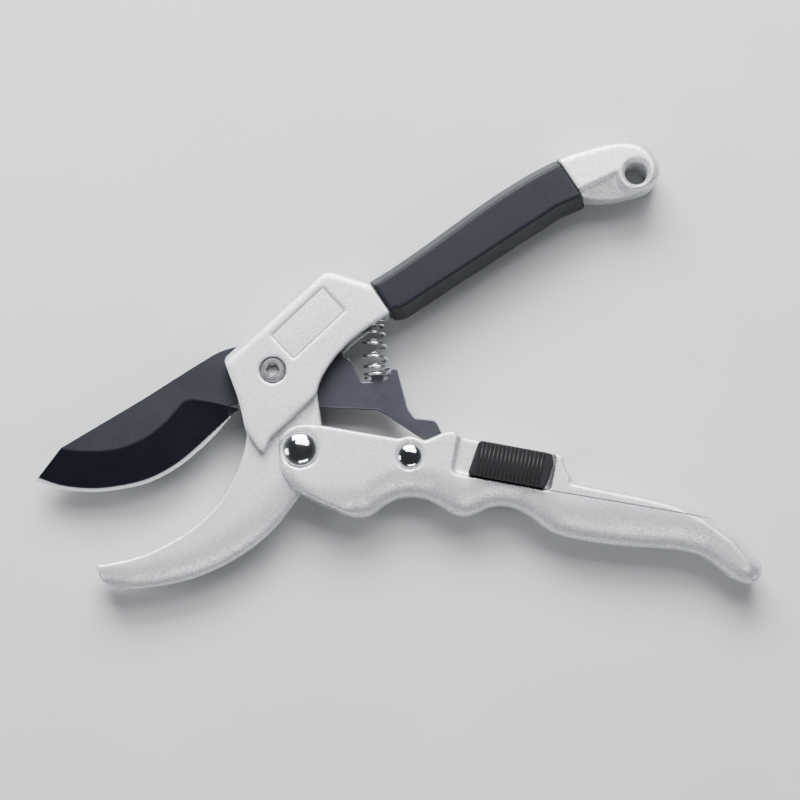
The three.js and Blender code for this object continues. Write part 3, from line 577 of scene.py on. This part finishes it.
# ---------------------------------------------------------------- pins and small parts
# the pivot screw's chamfer takes the painted groove shade
eased("pivot_screw", [SATIN, PAINTED_GROOVE_SHADE], 0.22, 1, 35, chamfer_finish=True)
for node in ("handle_bolt", "handle_nut", "link_rivet", "rivet_collar"):
    eased(node, [CHROME], 0.12, 2, 35)
for node in ("pivot_nut", "jaw_screw", "cap_screw", "spring_peg", "lock_bar"):
    eased(node, [STEEL], 0.12, 2, 40)
for node in ("handle_washer_front", "handle_washer_rear"):
    eased(node, [STEEL], 0.08, 1, 40)
for node in ("pivot_bushing", "blade_washer_front", "blade_washer_rear", "link_spacer_front",
             "link_spacer_rear"):
    eased(node, [BRONZE], 0.08, 1, 40)
eased("lock_slider", [BLACK], 0.12, 2, 35)


# ---------------------------------------------------------------- repeated and wound forms
def form_tree(name, inputs):
    """An empty geometry node tree with named size inputs, and its two end nodes."""
    tree = bpy.data.node_groups.new(name, "GeometryNodeTree")
    for label, value in inputs:
        kind = "NodeSocketInt" if isinstance(value, int) else "NodeSocketFloat"
        tree.interface.new_socket(label, in_out="INPUT", socket_type=kind).default_value = value
    tree.interface.new_socket("Geometry", in_out="OUTPUT", socket_type="NodeSocketGeometry")
    return tree, tree.nodes.new("NodeGroupInput").outputs, tree.nodes.new("NodeGroupOutput").inputs


def finish_tree(tree, geometry, out, finish):
    """Ends a tree: real geometry in place of instances, smooth, in its finish."""
    whole = add_node(tree, "GeometryNodeRealizeInstances", {0: geometry}).outputs[0]
    smooth = add_node(tree, "GeometryNodeSetShadeSmooth", {0: whole}).outputs[0]
    coated = add_node(tree, "GeometryNodeSetMaterial", {0: smooth, "Material": finish})
    tree.links.new(coated.outputs[0], out[0])
    return tree


def coil_tree():
    """A compression spring along Z, with its end turns wound closer."""
    tree, given, out = form_tree("wound_spring", [("Length", 0.016), ("Radius", 0.0035), ("Wire", 0.0005),
                                                  ("Turns", 6.75)])
    spiral = add_node(tree, "GeometryNodeCurveSpiral", {"Resolution": 40, "Rotations": given["Turns"],
                                                        "Start Radius": given["Radius"],
                                                        "End Radius": given["Radius"],
                                                        "Height": given["Length"]}).outputs[0]
    along = add_node(tree, "GeometryNodeSplineParameter").outputs["Factor"]
    pitch = add_node(tree, "ShaderNodeFloatCurve", {"Value": along})
    points = pitch.mapping.curves[0].points
    for x, y in ((0.13, 0.055), (0.87, 0.945)):
        points.new(x, y)
    pitch.mapping.update()
    rise = math_node(tree, "MULTIPLY", pitch.outputs[0], given["Length"])
    position = add_node(tree, "GeometryNodeInputPosition").outputs[0]
    place = add_node(tree, "ShaderNodeSeparateXYZ", {0: position}).outputs
    moved = add_node(tree, "ShaderNodeCombineXYZ", {0: place[0], 1: place[1], 2: rise})
    wound = add_node(tree, "GeometryNodeSetPosition", {"Geometry": spiral, "Position": moved.outputs[0]})
    section = add_node(tree, "GeometryNodeCurvePrimitiveCircle", {"Resolution": 12,
                                                               "Radius": given["Wire"]})
    wire = add_node(tree, "GeometryNodeCurveToMesh", {"Curve": wound.outputs[0],
                                                      "Profile Curve": section.outputs[0], "Fill Caps": True})
    return finish_tree(tree, wire.outputs[0], out, SPRING)


def rib_tree():
    """A row of rounded finger ribs along X, each lying along Y."""
    tree, given, out = form_tree("finger_ribs", [("Count", 16), ("Pitch", 0.0012), ("Width", 0.0094),
                                                 ("Thickness", 0.00036)])
    step = add_node(tree, "ShaderNodeCombineXYZ", {0: given["Pitch"]}).outputs[0]
    row = add_node(tree, "GeometryNodeMeshLine", {"Count": given["Count"], "Offset": step})
    rib = add_node(tree, "GeometryNodeMeshCylinder", {"Vertices": 14, "Radius": given["Thickness"],
                                                      "Depth": given["Width"]})
    rib = add_node(tree, "GeometryNodeTransform", {"Geometry": rib.outputs[0],
                                                   "Rotation": (math.pi / 2, 0, 0), "Scale": (1, 1, 1)})
    ribs = add_node(tree, "GeometryNodeInstanceOnPoints", {"Points": row.outputs[0],
                                                           "Instance": rib.outputs[0]})
    return finish_tree(tree, ribs.outputs[0], out, BLACK)


def grown(name, tree, sizes, place):
    """The mesh that a tree makes with the given sizes, moved to its place."""
    obj = scene_object(name, bpy.data.meshes.new(name))
    grow = obj.modifiers.new("grow", "NODES")
    grow.node_group = tree
    for item in tree.interface.items_tree:
        if item.in_out == "INPUT" and item.name in sizes:
            grow[item.identifier] = sizes[item.name]
    plain(obj)
    obj.data.transform(place)
    return obj


def axes(origin, x, y, z):
    """The placing that puts a piece at origin along the three given directions."""
    frame_of_piece = Matrix((x, y, z)).transposed().to_4x4()
    return Matrix.Translation(origin) @ frame_of_piece


OUT = Vector((0, 0, 1))  # the way the front face looks
COIL_RADIUS, WIRE_RADIUS = 3.5, 0.5
END_SPACE = 0.7  # wire centre to each seat of the spring
foot, top = Vector((31.2, -1.9, 0)), Vector((29.3, 16.35, 0))
line = (top - foot).normalized()
across = Vector((-line.y, line.x, 0))
start = foot + line * END_SPACE
coil = grown("return_spring_wound", coil_tree(),
             {"Length": ((top - start).length - END_SPACE) * MM, "Radius": COIL_RADIUS * MM,
              "Wire": WIRE_RADIUS * MM, "Turns": 6.75},
             axes(spot(*start), across, OUT, line))
stand_in(coil, "return_spring")
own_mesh(coil)

slide_angle = math.radians(-10.4)
slide = Vector((math.cos(slide_angle), math.sin(slide_angle), 0))
aside = Vector((-slide.y, slide.x, 0))
slider_middle, first_rib_back = Vector((70.9, -28.2, 9.47)), 9.3
first_rib = slider_middle - slide * first_rib_back
ribs = grown("lock_slider_ribs", rib_tree(), {"Count": 16, "Pitch": 1.2 * MM, "Width": 9.4 * MM,
                                              "Thickness": 0.38 * MM},
             axes(spot(*first_rib), slide, aside, OUT))
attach(ribs, "lock")


def keep_frame_part(node, finish):
    """A CAD node that stays as it is and only gets its finish."""
    part = frame["nodes"][node]
    part.data.materials.clear()
    part.data.materials.append(finish)


keep_frame_part("lock_leaf", SPRING)
